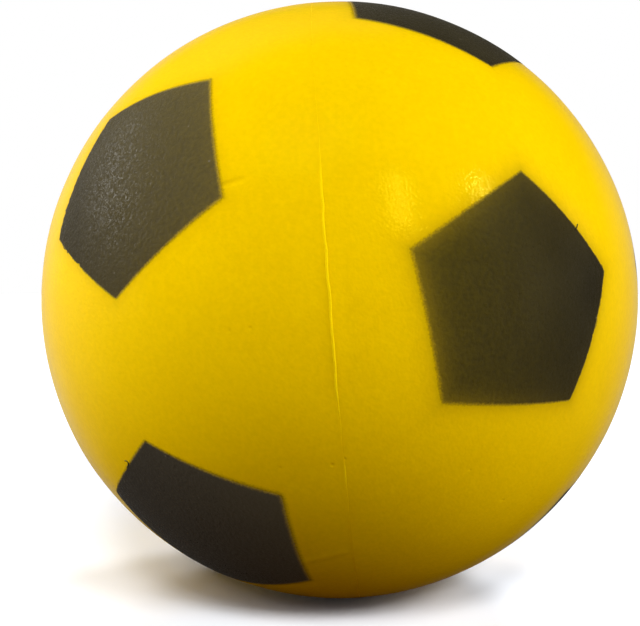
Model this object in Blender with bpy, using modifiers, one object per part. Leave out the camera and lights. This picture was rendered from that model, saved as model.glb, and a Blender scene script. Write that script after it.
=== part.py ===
# Foam soccer ball: one moulded foam core in a dense skin of two half shells, with twelve sprayed pentagons.
# Metres, +Z up. The ball lies on the plane z = 0 with its centre straight above the origin.
# Every piece is modelled about the mould's axis, local Z, and hangs on one empty at the ball's centre.
# In that local frame X points up along the parting line, Y to the front and Z to the right.

import math

import bmesh
import bpy
from mathutils import Matrix, Vector

MILLIMETRE = 0.001

# Driving dimensions
BALL_RADIUS = 0.100
REST_FLAT_DEPTH = 0.0005  # how far the soft ball flattens under its own weight
SKIN_THICKNESS = 0.0015
PIECE_GAP = 0.0003  # between the skin and the core, and beside the flash
FLASH_WIDTH = 0.0010  # foam squeezed out where the two mould halves meet
FLASH_HEIGHT = 0.0003
LIP_ROUND = 0.0004  # soft edge of each half shell beside the flash
PAINT_THICKNESS = 0.0002
PAINT_GAP = 0.0001

# The mould's axis runs from the left shell's pole to the right one's
AXIS_RISE = math.radians(4.6)  # its right end is higher
AXIS_TURN = math.radians(-2.0)  # and a little nearer the front

# Each half is sprayed through one stencil: a pentagon at its pole and five in a ring round it
STENCIL_RING = math.radians(61.5)  # angle from the pole to the ring, a little less than an icosahedron's
STENCIL_REACH = math.radians(20.3)  # angle from a pentagon's centre to its corners
STENCIL_TILT = math.radians(6.8)  # both stencils sit tilted on the mould's axis, up at the right
STENCIL_BACK = math.radians(1.8)  # and both are pushed towards the back
STENCIL_SPIN = {"left": math.radians(14.9), "right": math.radians(21.8)}
CORNERS = 5
CORNER_STEP = 2 * math.pi / CORNERS

# How single pentagons stray from their stencil's layout: degrees towards their first corner, to its left and
# of turn, then millimetres that each corner reaches further. A ring pentagon's first corner faces the pole.
STRAYS = {
    "pentagon_left_4": (0.6, 1.0, 0.9, (0.0, 7.5, 0.0, 2.0, -0.3)),
    "pentagon_left_5": (-0.1, -0.2, 0.2, (-0.5, 0.0, 1.5, 1.0, -1.5)),
    "pentagon_right_pole": (-2.2, 0.7, 0.5, (0.0, 0.0, 0.0, 0.0, 0.0)),
    "pentagon_right_1": (0.7, 1.7, 1.3, (-1.5, 0.0, -1.3, 1.5, 1.2)),
    "pentagon_right_2": (0.5, 0.2, 2.0, (-1.6, -0.8, 0.4, 1.1, -0.2)),
    "pentagon_right_3": (3.0, -7.0, 4.5, (1.0, -1.0, -2.0, 0.0, 0.0)),
}
# Millimetres that corners also swing round their pentagon's centre, counterclockwise seen from outside
SWINGS = {
    "pentagon_left_4": (0.0, 0.0, 0.0, 0.0, -0.7),
    "pentagon_left_5": (0.0, 0.0, 0.0, -0.9, 0.4),
    "pentagon_right_2": (-0.8, -0.5, 0.6, -1.0, 1.1),
}
NO_SWING = (0.0,) * CORNERS
NO_STRAY = (0.0, 0.0, 0.0, NO_SWING)

# Facets: all round pieces share one grid, so that a layer lies parallel to the one below
TURN_STEPS = 48
ROWS_PER_HALF = 16
LIP_POINTS = 3
AXIS_MERGE = 0.00001
PYRAMID_HEIGHT = 1.2 * BALL_RADIUS  # the stencil pyramids reach past the ball
FLOOR_BLOCK_SIZE = (0.06, 0.06, 0.02)

# Principled settings: linear colour and roughness
FOAM_LOOK = ((0.90, 0.62, 0.06), 0.90)
SKIN_LOOK = ((0.93, 0.61, 0.00), 0.42)
PAINT_LOOK = ((0.030, 0.026, 0.020), 0.55)

SIDES = {"left": -1, "right": 1}
LOCAL_UP = Vector((1.0, 0.0, 0.0))


def clear_scene():
    for obj in list(bpy.data.objects):
        bpy.data.objects.remove(obj)


def new_collection(name):
    collection = bpy.data.collections.new(name)
    bpy.context.scene.collection.children.link(collection)
    return collection


def new_material(name, look):
    colour, roughness = look
    material = bpy.data.materials.new(name)
    material.use_nodes = True
    shader = material.node_tree.nodes["Principled BSDF"]
    shader.inputs["Base Color"].default_value = (*colour, 1.0)
    shader.inputs["Roughness"].default_value = roughness
    shader.inputs["Metallic"].default_value = 0.0
    return material


def new_object(name, mesh, collection, parent=None, material=None):
    obj = bpy.data.objects.new(name, mesh)
    collection.objects.link(obj)
    obj.parent = parent
    if material:
        mesh.materials.append(material)
    return obj


def make_helper(obj):
    obj.hide_render = True
    obj.display_type = "WIRE"


def mould_frame(collection):
    # Carries every piece: at the ball's centre, its Z axis along the mould's axis
    axis = Vector((
        math.cos(AXIS_RISE) * math.cos(AXIS_TURN),
        math.cos(AXIS_RISE) * math.sin(AXIS_TURN),
        math.sin(AXIS_RISE),
    ))
    up = (Vector((0.0, 0.0, 1.0)) - axis.z * axis).normalized()
    front = axis.cross(up)
    frame = new_object("ball_centre", None, collection)
    place = Matrix((up, front, axis)).transposed().to_4x4()
    place.translation = (0.0, 0.0, BALL_RADIUS - REST_FLAT_DEPTH)
    frame.matrix_world = place
    return frame


def arc(radius, from_angle, to_angle, steps):
    # Points of a circle about the ball's centre, by their angle above the parting plane
    return [
        (radius * math.cos(angle), radius * math.sin(angle))
        for angle in (from_angle + (to_angle - from_angle) * k / steps for k in range(steps + 1))
    ]


def on_axis(points):
    # The pole's point lies exactly on the axis, so that the turned surface closes there
    return [(0.0 if abs(x) < AXIS_MERGE else x, z) for x, z in points]


def turned(name, outlines, collection, parent, material=None):
    # Turns open outlines, each running down its outer side, about local Z
    mesh = bpy.data.meshes.new(name)
    points = []
    edges = []
    for outline in outlines:
        first = len(points)
        points += [(x, 0.0, z) for x, z in on_axis(outline)]
        edges += [(k, k + 1) for k in range(first, len(points) - 1)]
    mesh.from_pydata(points, edges, [])
    obj = new_object(name, mesh, collection, parent, material)
    screw = obj.modifiers.new("turn", "SCREW")
    screw.axis = "Z"
    screw.angle = 2 * math.pi
    screw.steps = TURN_STEPS
    screw.render_steps = TURN_STEPS
    screw.use_merge_vertices = True
    screw.merge_threshold = AXIS_MERGE
    screw.use_smooth_shade = True
    return obj


def cut(obj, cutter, operation="DIFFERENCE"):
    boolean = obj.modifiers.new(cutter.name, "BOOLEAN")
    boolean.object = cutter
    boolean.operation = operation


def floor_block(collection):
    # Whatever would reach below the floor is flattened by it
    bpy.ops.mesh.primitive_cube_add(size=1.0)
    block = bpy.context.active_object
    block.name = "floor_block"
    for owner in list(block.users_collection):
        owner.objects.unlink(block)
    collection.objects.link(block)
    block.data.transform(Matrix.Diagonal((*FLOOR_BLOCK_SIZE, 1.0)))
    block.location.z = -FLOOR_BLOCK_SIZE[2] / 2
    make_helper(block)
    return block


def foam_core(collection, frame, material):
    # A ball with a thin fin at the parting plane: the flash that shows between the half shells
    radius = BALL_RADIUS - SKIN_THICKNESS - PIECE_GAP
    half_width = FLASH_WIDTH / 2
    lowest_row = math.pi / 2 / ROWS_PER_HALF
    upper = arc(radius, math.pi / 2, lowest_row, ROWS_PER_HALF - 1)
    upper.append((math.sqrt(radius**2 - half_width**2), half_width))
    upper.append((BALL_RADIUS, half_width))
    upper.append((BALL_RADIUS + FLASH_HEIGHT, half_width / 2))
    lower = [(x, -z) for x, z in reversed(upper)]
    return turned("foam_core", [upper + lower], collection, frame, material)


def skin_half(side, collection, frame, material):
    # A half shell whose rim stops short of the flash, with a rounded outer lip
    rim = FLASH_WIDTH / 2 + PIECE_GAP
    inner_radius = BALL_RADIUS - SKIN_THICKNESS
    lowest_row = math.pi / 2 / ROWS_PER_HALF
    outer = arc(BALL_RADIUS, math.pi / 2, lowest_row, ROWS_PER_HALF - 1)
    lip_x = BALL_RADIUS - LIP_ROUND
    lip_z = rim + LIP_ROUND
    for k in range(LIP_POINTS):
        angle = math.pi / 2 * k / (LIP_POINTS - 1)
        outer.append((lip_x + LIP_ROUND * math.cos(angle), lip_z - LIP_ROUND * math.sin(angle)))
    inner = arc(inner_radius, lowest_row, math.pi / 2, ROWS_PER_HALF - 1)
    inner.insert(0, (math.sqrt(inner_radius**2 - rim**2), rim))
    half = turned(f"skin_{side}", [outer + inner], collection, frame, material)
    if side == "left":
        half.rotation_euler.x = math.pi
    return half


def paint_shell(collection, frame):
    # The thin layer just above the skin that the paint fills, all round the ball
    inner_radius = BALL_RADIUS + PAINT_GAP
    rows = 2 * ROWS_PER_HALF
    outside = arc(inner_radius + PAINT_THICKNESS, math.pi / 2, -math.pi / 2, rows)
    inside = arc(inner_radius, -math.pi / 2, math.pi / 2, rows)
    shell = turned("paint_shell", [outside, inside], collection, frame)
    make_helper(shell)
    return shell


def turn_about(vector, axis, angle):
    return Matrix.Rotation(angle, 3, axis) @ vector


def stencil_places(side):
    # Name, centre and first corner's direction of the six pentagons on one half
    sign = SIDES[side]
    pole = Vector((sign * math.tan(STENCIL_TILT), -math.tan(STENCIL_BACK), sign)).normalized()
    up = (LOCAL_UP - LOCAL_UP.dot(pole) * pole).normalized()
    spokes = [turn_about(up, pole, STENCIL_SPIN[side] + k * CORNER_STEP) for k in range(CORNERS)]
    yield f"pentagon_{side}_pole", pole, spokes[0]
    for k, spoke in enumerate(spokes):
        centre = math.cos(STENCIL_RING) * pole + math.sin(STENCIL_RING) * spoke
        to_pole = (pole - pole.dot(centre) * centre).normalized()
        yield f"pentagon_{side}_{k + 1}", centre, to_pole


def strayed_axes(centre, to_corner, stray):
    # The pentagon's own axes after its small slide and turn: X to its first corner, Z out of the ball
    slide, drift, turn, _ = stray
    slide = math.radians(slide)
    drift = math.radians(drift)
    across = centre.cross(to_corner)
    out = math.cos(slide) * centre + math.sin(slide) * to_corner
    corner = math.cos(slide) * to_corner - math.sin(slide) * centre
    out = math.cos(drift) * out + math.sin(drift) * across
    corner = turn_about(corner, out, math.radians(turn))
    corner = (corner - corner.dot(out) * out).normalized()
    return Matrix((corner, out.cross(corner), out)).transposed()


def stencil_pyramid(name, reaches, swings):
    # Five-sided pyramid with its point at the ball's centre, so that its sides cut great circles
    mesh = bpy.data.meshes.new(name)
    pyramid = bmesh.new()
    bmesh.ops.create_cone(
        pyramid,
        cap_ends=True,
        segments=CORNERS,
        radius1=0.0,
        radius2=PYRAMID_HEIGHT * math.tan(STENCIL_REACH),
        depth=PYRAMID_HEIGHT,
    )
    base = [vertex for vertex in pyramid.verts if vertex.co.z > 0]
    base.sort(key=lambda vertex: math.atan2(vertex.co.y, vertex.co.x))
    for vertex in pyramid.verts:
        vertex.co.z += PYRAMID_HEIGHT / 2
    for k, (vertex, reach, swing) in enumerate(zip(base, reaches, swings)):
        width = PYRAMID_HEIGHT * math.tan(reach)
        turn = k * CORNER_STEP + swing / math.sin(reach)
        vertex.co.x = width * math.cos(turn)
        vertex.co.y = width * math.sin(turn)
    pyramid.to_mesh(mesh)
    pyramid.free()
    return mesh


def pentagon(name, centre, to_corner, shell, collection, frame, material):
    stray = STRAYS.get(name, NO_STRAY)
    reaches = [STENCIL_REACH + extra * MILLIMETRE / BALL_RADIUS for extra in stray[3]]
    swings = [swing * MILLIMETRE / BALL_RADIUS for swing in SWINGS.get(name, NO_SWING)]
    patch = new_object(name, stencil_pyramid(name, reaches, swings), collection, frame, material)
    patch.rotation_euler = strayed_axes(centre, to_corner, stray).to_euler()
    cut(patch, shell, "INTERSECT")
    return patch


def build_ball():
    clear_scene()
    parts = new_collection("foam_soccer_ball")
    cutters = new_collection("cutters")
    foam = new_material("yellow_foam", FOAM_LOOK)
    skin = new_material("yellow_skin", SKIN_LOOK)
    paint = new_material("black_paint", PAINT_LOOK)
    frame = mould_frame(parts)
    floor = floor_block(cutters)
    shell = paint_shell(cutters, frame)
    cut(foam_core(parts, frame, foam), floor)
    for side in SIDES:
        cut(skin_half(side, parts, frame, skin), floor)
        for name, centre, to_corner in stencil_places(side):
            pentagon(name, centre, to_corner, shell, parts, frame, paint)


build_ball()
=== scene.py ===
import math
from functools import partial

import bmesh
import bpy
import numpy as np
from mathutils import Matrix, Vector


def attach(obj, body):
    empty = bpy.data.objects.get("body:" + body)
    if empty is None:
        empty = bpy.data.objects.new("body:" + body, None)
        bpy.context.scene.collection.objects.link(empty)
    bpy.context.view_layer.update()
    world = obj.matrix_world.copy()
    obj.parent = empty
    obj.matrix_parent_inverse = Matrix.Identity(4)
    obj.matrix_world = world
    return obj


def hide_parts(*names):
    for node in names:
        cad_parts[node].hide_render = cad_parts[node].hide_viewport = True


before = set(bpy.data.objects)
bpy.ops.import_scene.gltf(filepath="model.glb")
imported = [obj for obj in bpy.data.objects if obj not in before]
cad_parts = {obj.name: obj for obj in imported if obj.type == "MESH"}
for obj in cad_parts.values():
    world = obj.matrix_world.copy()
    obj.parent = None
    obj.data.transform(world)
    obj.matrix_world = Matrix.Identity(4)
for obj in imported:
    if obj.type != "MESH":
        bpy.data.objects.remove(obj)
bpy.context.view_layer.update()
scene = bpy.context.scene
print("frame loaded,", len(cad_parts), "solids")

mm = 0.001

# The ball as the solids have it: two mould halves that part along a seam
ball = {
    "radius": 100 * mm,
    "restFlat": 0.5 * mm,   # how far the foam gives way where the ball lies
    "axisRise": 4.6,        # degrees that the mould's axis climbs to the right
    "axisTurn": -2.0,       # degrees that it turns towards the viewer
}

ballCentre = Vector((0, 0, ball["radius"] - ball["restFlat"]))
axisRise = math.radians(ball["axisRise"])
axisTurn = math.radians(ball["axisTurn"])
mouldAxis = Vector((
    math.cos(axisRise) * math.cos(axisTurn),
    math.cos(axisRise) * math.sin(axisTurn),
    math.sin(axisRise),
))
seamUp = (Vector((0, 0, 1)) - mouldAxis * mouldAxis.z).normalized()
seamFront = mouldAxis.cross(seamUp)
# The mould's own axes: X up along the seam, Y to the viewer, Z out of the right half
mouldMatrix = Matrix.Translation(ballCentre) @ Matrix((seamUp, seamFront, mouldAxis)).transposed().to_4x4()


# The camera stands where the pentagons foreshorten as they do in the photograph
photoCamera = {
    "place": (-6.25 * mm, -339.68 * mm, 113.04 * mm),
    "pitchDown": 3.0,
    "lens": 54.51,
    "sensor": 36.0,
    "frame": (640, 626),    # the photograph's pixels
    "clip": (0.01, 50),     # metres
}


def addCamera():
    data = bpy.data.cameras.new("photoCamera")
    data.lens = photoCamera["lens"]
    data.sensor_width = photoCamera["sensor"]
    data.clip_start, data.clip_end = photoCamera["clip"]
    camera = bpy.data.objects.new("photoCamera", data)
    camera.location = photoCamera["place"]
    camera.rotation_euler = (math.radians(90 - photoCamera["pitchDown"]), 0, 0)
    scene.collection.objects.link(camera)
    scene.camera = camera


def ballSpot(pixel):
    # direction from the ball's centre, in the mould's axes, to the surface that shows at a pixel
    width, height = photoCamera["frame"]
    focal = photoCamera["lens"] / photoCamera["sensor"] * width
    turn = Matrix.Rotation(math.radians(90 - photoCamera["pitchDown"]), 3, "X")
    ray = turn @ Vector(((pixel[0] - width / 2) / focal, (height / 2 - pixel[1]) / focal, -1)).normalized()
    start = Vector(photoCamera["place"]) - ballCentre
    along = start.dot(ray)
    reach = along ** 2 - start.length_squared + ball["radius"] ** 2
    spot = start + ray * (-along - math.sqrt(max(reach, 0)))
    return (mouldMatrix.to_3x3().transposed() @ spot).normalized()


addCamera()
print("camera set")


# Node helpers
def addNode(tree, kind, inputs=(), **settings):
    # inputs go by socket, or in the sockets' order, and take a value, a socket, or a node
    # whose first output is meant
    node = tree.nodes.new(kind)
    for name, value in settings.items():
        setattr(node, name, value)
    bySocket = inputs if isinstance(inputs, dict) else dict(enumerate(inputs))
    for socket, value in bySocket.items():
        if isinstance(value, bpy.types.Node):
            tree.links.new(value.outputs[0], node.inputs[socket])
        elif isinstance(value, bpy.types.NodeSocket):
            tree.links.new(value, node.inputs[socket])
        else:
            node.inputs[socket].default_value = value
    return node


# A noise seldom goes past these values, so they stand for its ends
narrowNoise = (0.3, 0.7)
middleNoise = (0.25, 0.75)
wideNoise = (0.2, 0.8)


def floats(*names):
    return dict.fromkeys(names, "Float")


def newTree(name, inputs, result="NodeSocketGeometry"):
    tree = bpy.data.node_groups.new(name, "GeometryNodeTree")
    for label, kind in inputs.items():
        tree.interface.new_socket(label, in_out="INPUT", socket_type="NodeSocket" + kind)
    tree.interface.new_socket("Result", in_out="OUTPUT", socket_type=result)
    given = tree.nodes.new("NodeGroupInput").outputs
    return tree, partial(addNode, tree), given


def closeTree(tree, last):
    tree.links.new(last.outputs[0], tree.nodes.new("NodeGroupOutput").inputs[0])
    return tree


def closeShape(tree, node, given, shape):
    # a piece's tree ends in plain faces with its material
    whole = node("GeometryNodeRealizeInstances", {"Geometry": shape})
    dressed = node("GeometryNodeSetMaterial", {"Geometry": whole, "Material": given["Material"]})
    return closeTree(tree, dressed)


def runTree(name, tree, values):
    # the tree's result as a plain mesh on an object of its own
    piece = bpy.data.objects.new(name, bpy.data.meshes.new(name))
    scene.collection.objects.link(piece)
    modifier = piece.modifiers.new(tree.name, "NODES")
    modifier.node_group = tree
    for item in tree.interface.items_tree:
        if item.in_out == "INPUT":
            # the input "Seam Gap" takes the value "seamGap"
            label = item.name.replace(" ", "")
            modifier[item.identifier] = values[label[0].lower() + label[1:]]
    graph = bpy.context.evaluated_depsgraph_get()
    mesh = bpy.data.meshes.new_from_object(piece.evaluated_get(graph), depsgraph=graph)
    piece.modifiers.remove(modifier)
    piece.data = mesh
    mesh.name = name
    return piece


def guideObject(name, threads, closed):
    # threads of points for a tree to follow, removed once the tree has run
    mesh = bpy.data.meshes.new(name)
    points = []
    edges = []
    for thread in threads:
        first = len(points)
        points += thread
        edges += [(i, i + 1) for i in range(first, len(points) - 1)]
        if closed:
            edges.append((len(points) - 1, first))
    mesh.from_pydata(points, edges, [])
    guide = bpy.data.objects.new(name, mesh)
    scene.collection.objects.link(guide)
    return guide


# How the real ball departs from a true sphere, alike for everything that lies on it
surface = {
    "unevenHeight": 0.10 * mm,
    "unevenSize": 28 * mm,
    "beadHeight": 0.12 * mm,    # the right half swells a little beside the flash
    "beadReach": 5.0 * mm,
    "beadSide": 1.0 * mm,       # from the seam plane to where the swelling is full
    "driftAmount": 0.45 * mm,   # the seam wanders off its plane
    "driftSize": 30 * mm,
    "jogAmount": 0.20 * mm,     # and jogs now and then
    "jogSize": 7 * mm,
    "driftReach": 14 * mm,
    "flashSize": 4 * mm,        # length of the lumps along the flash
    "flashUneven": (0.6, 1.2),  # the lowest and the highest of them
    "openAt": 0.45,             # flash share from which the seam stands fully open
    "closedShare": 0.15,
}

# How proud the flash stands along the seam: degrees from the top over the front, and a share
flashStretches = [
    (0, 0.04), (30, 0.0), (62, 0.02), (68, 0.42), (74, 0.72), (80, 1.0), (88, 0.9), (96, 1.0),
    (100, 0.72), (103, 0.34), (108, 0.16), (111, 0.0), (114, 0.42), (117, 0.2), (132, 0.1),
    (165, 0.02), (205, 0.1), (228, 0.7), (250, 0.9), (276, 0.55), (300, 0.85), (322, 0.2), (360, 0.04),
]


def buildFlashShare():
    tree, node, given = newTree("flashShare", {"Way": "Vector"}, "NodeSocketFloat")
    place = node("ShaderNodeSeparateXYZ", (given["Way"],)).outputs
    turn = node("ShaderNodeMath", (place["Y"], place["X"]), operation="ARCTAN2")
    turns = node("ShaderNodeMath", (turn, math.tau), operation="DIVIDE")
    share = node("ShaderNodeMath", (turns,), operation="FRACT")
    curve = node("ShaderNodeFloatCurve", {"Value": share})
    points = curve.mapping.curves[0].points
    for angle, height in flashStretches[1:-1]:
        points.new(angle / 360, height)
    points[0].location = (0, flashStretches[0][1])
    points[-1].location = (1, flashStretches[-1][1])
    curve.mapping.update()
    way = node("ShaderNodeVectorMath", (given["Way"],), operation="NORMALIZE")
    lumps = node("ShaderNodeTexNoise",
                 {"Vector": way, "Scale": ball["radius"] / surface["flashSize"], "Detail": 1.0})
    uneven = node("ShaderNodeMapRange", (lumps, *narrowNoise, *surface["flashUneven"]))
    return closeTree(tree, node("ShaderNodeMath", (curve, uneven), operation="MULTIPLY"))


def buildSeamOpening(flashShare):
    # how wide the seam stands open: fully where there is flash, and hardly elsewhere
    tree, node, given = newTree("seamOpening", {"Way": "Vector"}, "NodeSocketFloat")
    flash = node("GeometryNodeGroup", {"Way": given["Way"]}, node_tree=flashShare)
    opening = node("ShaderNodeMapRange", (flash, 0.0, surface["openAt"], surface["closedShare"], 1.0))
    return closeTree(tree, opening)


def buildBallSurface(flashShare):
    tree, node, given = newTree("ballSurface", {"Geometry": "Geometry"})
    position = node("GeometryNodeInputPosition")
    outward = node("ShaderNodeVectorMath", (position,), operation="NORMALIZE")
    place = node("ShaderNodeSeparateXYZ", (position,)).outputs
    fromSeam = node("ShaderNodeMath", (place["Z"],), operation="ABSOLUTE")

    lumps = node("ShaderNodeTexNoise",
                 {"Vector": position, "Scale": 1 / surface["unevenSize"], "Detail": 1.0})
    height = surface["unevenHeight"]
    uneven = node("ShaderNodeMapRange", (lumps, *wideNoise, -height, height))

    near = node("ShaderNodeMapRange",
                (fromSeam, 0.0, surface["beadReach"], 1.0, 0.0), interpolation_type="SMOOTHERSTEP")
    flash = node("GeometryNodeGroup", {"Way": position}, node_tree=flashShare)
    side = surface["beadSide"]
    rightward = node("ShaderNodeMapRange",
                     (place["Z"], -side, side, 0.0, surface["beadHeight"]),
                     interpolation_type="SMOOTHERSTEP")
    swell = node("ShaderNodeMath", (flash, rightward), operation="MULTIPLY")
    bead = node("ShaderNodeMath", (near, swell), operation="MULTIPLY")
    rise = node("ShaderNodeMath", (uneven, bead), operation="ADD")
    lifted = node("ShaderNodeVectorMath", {0: outward, "Scale": rise}, operation="SCALE")

    # the drift is read on the seam itself, so that both halves and the flash go along
    onSeam = node("ShaderNodeVectorMath", (position, (1, 1, 0)), operation="MULTIPLY")
    ring = node("ShaderNodeVectorMath", (onSeam,), operation="NORMALIZE")
    wander = node("ShaderNodeTexNoise",
                  {"Vector": ring, "Scale": ball["radius"] / surface["driftSize"], "Detail": 2.0})
    amount = surface["driftAmount"]
    bend = node("ShaderNodeMapRange", (wander, *wideNoise, -amount, amount))
    waver = node("ShaderNodeTexNoise",
                 {"Vector": ring, "Scale": ball["radius"] / surface["jogSize"], "Detail": 1.0})
    jog = surface["jogAmount"]
    jogs = node("ShaderNodeMapRange", (waver, *middleNoise, -jog, jog))
    sideways = node("ShaderNodeMath", (bend, jogs), operation="ADD")
    reach = node("ShaderNodeMapRange",
                 (fromSeam, 0.0, surface["driftReach"], 1.0, 0.0), interpolation_type="SMOOTHERSTEP")
    drift = node("ShaderNodeMath", (sideways, reach), operation="MULTIPLY")
    moved = node("ShaderNodeCombineXYZ", {2: drift})
    offset = node("ShaderNodeVectorMath", (lifted, moved), operation="ADD")
    shaped = node("GeometryNodeSetPosition", {"Geometry": given["Geometry"], "Offset": offset})
    return closeTree(tree, shaped)


flashShare = buildFlashShare()
seamOpening = buildSeamOpening(flashShare)
ballSurface = buildBallSurface(flashShare)
print("surface rules built")


# Colours are written as sRGB and turned to linear here
def linear(hexColour):
    shares = [int(hexColour[i:i + 2], 16) / 255 for i in (1, 3, 5)]
    return tuple(c / 12.92 if c <= 0.04045 else ((c + 0.055) / 1.055) ** 2.4 for c in shares) + (1.0,)


def newMaterial(name):
    material = bpy.data.materials.new(name)
    material.use_nodes = True
    tree = material.node_tree
    tree.nodes.clear()
    return material, partial(addNode, tree)


plasticIor = 1.5    # polyurethane and paint alike


# Self-skinned polyurethane foam: a dense satin skin with the fine dimples of a coated mould.
# It gives a deep even yellow, grainy glints and a pale rim at grazing angles.
skinFinish = {
    "yellow": "#F8CD00",
    "deepYellow": "#F5C900",
    "paleYellow": "#FAD100",
    "glossTint": "#FFDC3C",
    "mottleSize": 22 * mm,
    "grainSize": 2.4 * mm,
    "paleFrom": (0.5, 0.8),     # heights of the grain over which it turns paler
    "paleShare": 0.5,
    "dimpleSize": 0.75 * mm,
    "dimpleDepth": 0.05 * mm,
    "leatherSize": 1.5 * mm,
    "leatherShare": 0.45,       # how deep the leathery relief is, against the dimples on it
    "leatherShade": 0.055,      # painted shade: how much darker its hollows are drawn than its tops
    "roughLow": 0.09,
    "roughHigh": 0.15,
    "roughSlant": 0.20,
    "slantFrom": (0.3, 0.65),   # from seen straight on to seen at a slant
    "specular": 0.12,
    "seamTint": 0.12,           # painted shade and light: how much darker left of the flash and lighter right of it the skin is drawn
}

# Black paint sprayed through a stencil: thin and faintly olive where the stencil stood off
paintFinish = {
    "black": "#231E14",
    "grey": "#2B261B",
    "olive": "#6C5D00",         # what a thin coat leaves of the yellow
    "thinUneven": (0.75, 1.25),
    "worn": "#686054",          # what a dusty or rubbed coat looks like, and painted sheen where a patch catches the light
    "mottleSize": 14 * mm,
    "grainSize": 1.2 * mm,
    "grainDepth": 0.2 * mm,
    "fleck": "#6E675C",
    "fleckSize": 2.2 * mm,
    "fleckRarity": 0.975,       # share of the cells that have none
    "fleckEdge": (0.06, 0.2),   # shares of a cell
    "mistGrain": 0.55 * mm,
    "mistJitter": 0.18,
    "mistEnds": (-1.0, 0.75),   # blurs inside an outline over which the mist closes
    "softBlur": (0.4, 0.9),     # millimetres of blur over which an edge turns from crisp to soft
    "scuffSize": 0.8 * mm,      # fine scuffs that catch the light
    "scuffBend": 1.2,
    "scuffFrom": (0.42, 0.64),
    "roughLow": 0.24,
    "roughHigh": 0.75,
    "specular": 0.06,
    "sheen": 0.03,
    "sheenRough": 0.5,
}


def sprayCover(node, coordinates):
    # 1 where the paint covers, 0 on bare skin, speckled in between as spray mist is
    depth = node("ShaderNodeAttribute", attribute_name="sprayDepth").outputs["Fac"]
    blur = node("ShaderNodeAttribute", attribute_name="sprayBlur").outputs["Fac"]
    speckle = node("ShaderNodeTexNoise",
                   {"Vector": coordinates, "Scale": 1 / paintFinish["mistGrain"], "Detail": 1.0})
    steps = node("ShaderNodeMath", (depth, blur), operation="DIVIDE")
    spread = paintFinish["mistJitter"]
    jitter = node("ShaderNodeMapRange", (speckle, *wideNoise, -spread, spread))
    mist = node("ShaderNodeMath", (steps, jitter), operation="ADD")
    cover = node("ShaderNodeMapRange", (mist, *paintFinish["mistEnds"]), interpolation_type="SMOOTHSTEP")
    return cover, blur


def makeSkinMaterial():
    material, node = newMaterial("moulded foam skin")
    coordinates = node("ShaderNodeTexCoord").outputs["Object"]
    mottle = node("ShaderNodeTexNoise",
                  {"Vector": coordinates, "Scale": 1 / skinFinish["mottleSize"], "Detail": 3.0})
    grain = node("ShaderNodeTexNoise",
                 {"Vector": coordinates, "Scale": 1 / skinFinish["grainSize"], "Detail": 2.0})
    shade = node("ShaderNodeMapRange", (mottle, *narrowNoise))
    yellow = node("ShaderNodeMix",
                  {0: shade, 6: linear(skinFinish["deepYellow"]), 7: linear(skinFinish["yellow"])},
                  data_type="RGBA").outputs[2]
    pale = node("ShaderNodeMapRange", (grain, *skinFinish["paleFrom"], 0.0, skinFinish["paleShare"]))
    grained = node("ShaderNodeMix",
                   {0: pale, 6: yellow, 7: linear(skinFinish["paleYellow"])}, data_type="RGBA").outputs[2]
    leather = node("ShaderNodeTexNoise",
                   {"Vector": coordinates, "Scale": 1 / skinFinish["leatherSize"], "Detail": 2.0})
    # painted shade in the hollows of the leathery relief
    half = skinFinish["leatherShade"] / 2
    paintedHollowShade = node("ShaderNodeMapRange", (leather, *narrowNoise, 1 - half, 1 + half))
    # painted shade on the left of the flash and painted light on its right
    beside = node("ShaderNodeAttribute", attribute_name="seamTint").outputs["Fac"]
    flashSideShading = node("ShaderNodeMath", (beside, skinFinish["seamTint"], 1.0), operation="MULTIPLY_ADD")
    shading = node("ShaderNodeMath", (flashSideShading, paintedHollowShade), operation="MULTIPLY")
    shadedYellow = node("ShaderNodeVectorMath", {0: grained, "Scale": shading}, operation="SCALE")
    cover, blur = sprayCover(node, coordinates)
    soft = node("ShaderNodeMapRange", (blur, *paintFinish["softBlur"]))
    edge = node("ShaderNodeMath", (cover, soft), operation="MULTIPLY")
    dust = node("ShaderNodeAttribute", attribute_name="overspray").outputs["Fac"]
    mist = node("ShaderNodeMath", (edge, dust), operation="MAXIMUM")
    colour = node("ShaderNodeMix",
                  {0: mist, 6: shadedYellow, 7: linear(paintFinish["black"])}, data_type="RGBA").outputs[2]
    dimples = node("ShaderNodeTexNoise",
                   {"Vector": coordinates, "Scale": 1 / skinFinish["dimpleSize"], "Detail": 0.5})
    uneven = node("ShaderNodeMath",
                  (leather, skinFinish["leatherShare"], dimples), operation="MULTIPLY_ADD")
    relief = node("ShaderNodeBump",
                  {"Strength": 1.0, "Distance": skinFinish["dimpleDepth"], "Height": uneven})
    gloss = node("ShaderNodeMapRange",
                 (grain, *narrowNoise, skinFinish["roughLow"], skinFinish["roughHigh"]))
    # seen at a slant the dimples hide each other and the gloss spreads
    slant = node("ShaderNodeLayerWeight").outputs["Facing"]
    rough = node("ShaderNodeMapRange", (slant, *skinFinish["slantFrom"], gloss, skinFinish["roughSlant"]))
    shader = node("ShaderNodeBsdfPrincipled", {
        "Base Color": colour,
        "Roughness": rough,
        "IOR": plasticIor,
        "Specular IOR Level": skinFinish["specular"],
        "Specular Tint": linear(skinFinish["glossTint"]),
        "Normal": relief,
    })
    node("ShaderNodeOutputMaterial", {"Surface": shader})
    return material


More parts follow.
